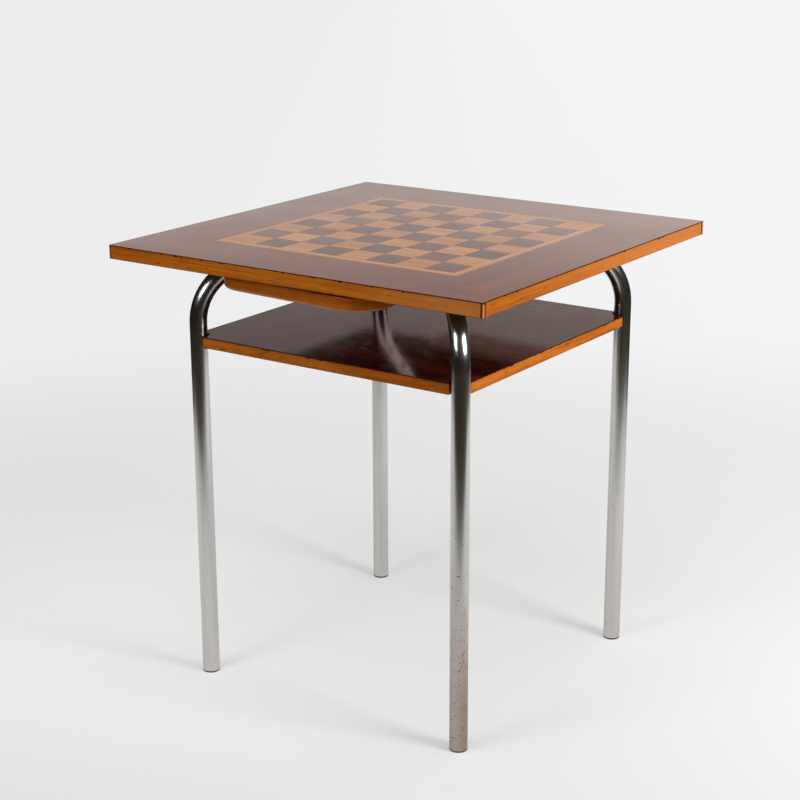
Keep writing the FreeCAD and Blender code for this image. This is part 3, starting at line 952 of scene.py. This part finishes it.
# White to the camera, a backdrop that falls off upwards in reflections, and a dim glow for the rest
def addSurround():
    world = bpy.data.worlds.new("studioSurround")
    bpy.context.scene.world = world
    world.use_nodes = True
    tree = world.node_tree
    tree.nodes.clear()
    heading = put(tree, "ShaderNodeTexCoord").outputs["Generated"]
    rays = put(tree, "ShaderNodeLightPath").outputs
    towards = vecMeasure(tree, "DOT_PRODUCT", heading, viewerSide)
    sideways = vecMeasure(tree, "DOT_PRODUCT", heading, viewerRight)
    height = split(tree, heading)["Z"]
    walls = surround["walls"]
    stops = [(place, (share, share, share * surround["warmth"])) for place, share in surround["fall"]]
    white = blendColour(tree, 1.0, colourRamp(tree, height, stops), (backdropLevel,) * 3, "MULTIPLY")
    brighter = calc(tree, "MULTIPLY_ADD", calc(tree, "MAXIMUM", sideways, 0.0), surround["right"], 1.0)
    white = blendColour(tree, 1.0, scaled(tree, white, brighter), walls, "LIGHTEN")
    colour = blendColour(tree, fade(tree, towards, *surround["edge"]), white, walls)
    fromSide = vecMeasure(tree, "DOT_PRODUCT", heading, surround["shineFrom"])
    shine = fade(tree, height, *surround["shineHeight"], 0.0, surround["shine"])
    shine = times(tree, fade(tree, fromSide, *surround["shineSpread"]), shine)
    around = blendColour(tree, 1.0, colour, (surround["ambient"],) * 3, "LIGHTEN")
    around = blendColour(tree, 1.0, around, shine, "ADD")
    soft = put(tree, "ShaderNodeBackground", {"Color": around}).outputs[0]
    mirrored = put(tree, "ShaderNodeBackground", {"Color": colour}).outputs[0]
    plain = {"Color": (1, 1, 1, 1), "Strength": backdropLevel}
    seen = put(tree, "ShaderNodeBackground", plain).outputs[0]
    shiny = calc(tree, "MAXIMUM", rays["Is Glossy Ray"], rays["Is Transmission Ray"])
    lit = put(tree, "ShaderNodeMixShader", {0: shiny, 1: soft, 2: mirrored}).outputs[0]
    final = put(tree, "ShaderNodeMixShader", {0: rays["Is Camera Ray"], 1: lit, 2: seen}).outputs[0]
    put(tree, "ShaderNodeOutputWorld", {"Surface": final})


def addSoftLight(name, values):
    lamp = bpy.data.lights.new(name, "AREA")
    lamp.shape = "RECTANGLE"
    lamp.size, lamp.size_y = values["size"]
    lamp.energy = values["watts"]
    lamp.color = values["colour"]
    light = bpy.data.objects.new(name, lamp)
    heading, distance = math.radians(values["heading"]), values["distance"]
    light.location = (distance * math.cos(heading), distance * math.sin(heading), values["height"])
    aim = Vector(lightAim) - light.location
    light.rotation_euler = aim.to_track_quat("-Z", "Y").to_euler()
    bpy.context.scene.collection.objects.link(light)


# Camera at the photograph's viewing angle
lens = {
    "focal": 78.448, "sensor": 36.0,
    "yaw": 34.730, "pitch": 16.910, "roll": -0.2245, "place": (1.53422, -2.25674, 1.28124),
}


def addCamera():
    data = bpy.data.cameras.new("photoCamera")
    data.lens = lens["focal"]
    data.sensor_width = lens["sensor"]
    camera = bpy.data.objects.new("photoCamera", data)
    yaw, pitch, roll = (math.radians(lens[key]) for key in ("yaw", "pitch", "roll"))
    flat = math.cos(pitch)
    back = Vector((math.sin(yaw) * flat, -math.cos(yaw) * flat, math.sin(pitch)))
    level = Vector((0, 0, 1)).cross(back).normalized()
    upright = back.cross(level)
    right = math.cos(roll) * level + math.sin(roll) * upright
    above = math.cos(roll) * upright - math.sin(roll) * level
    turn = Matrix((right, above, back)).transposed()
    camera.matrix_world = Matrix.Translation(lens["place"]) @ turn.to_4x4()
    bpy.context.scene.collection.objects.link(camera)
    bpy.context.scene.camera = camera


addFloor()
addSurround()
for name, values in softLights.items():
    addSoftLight(name, values)
addCamera()
bpy.context.scene.view_settings.view_transform = "Standard"
print("studio and camera set")
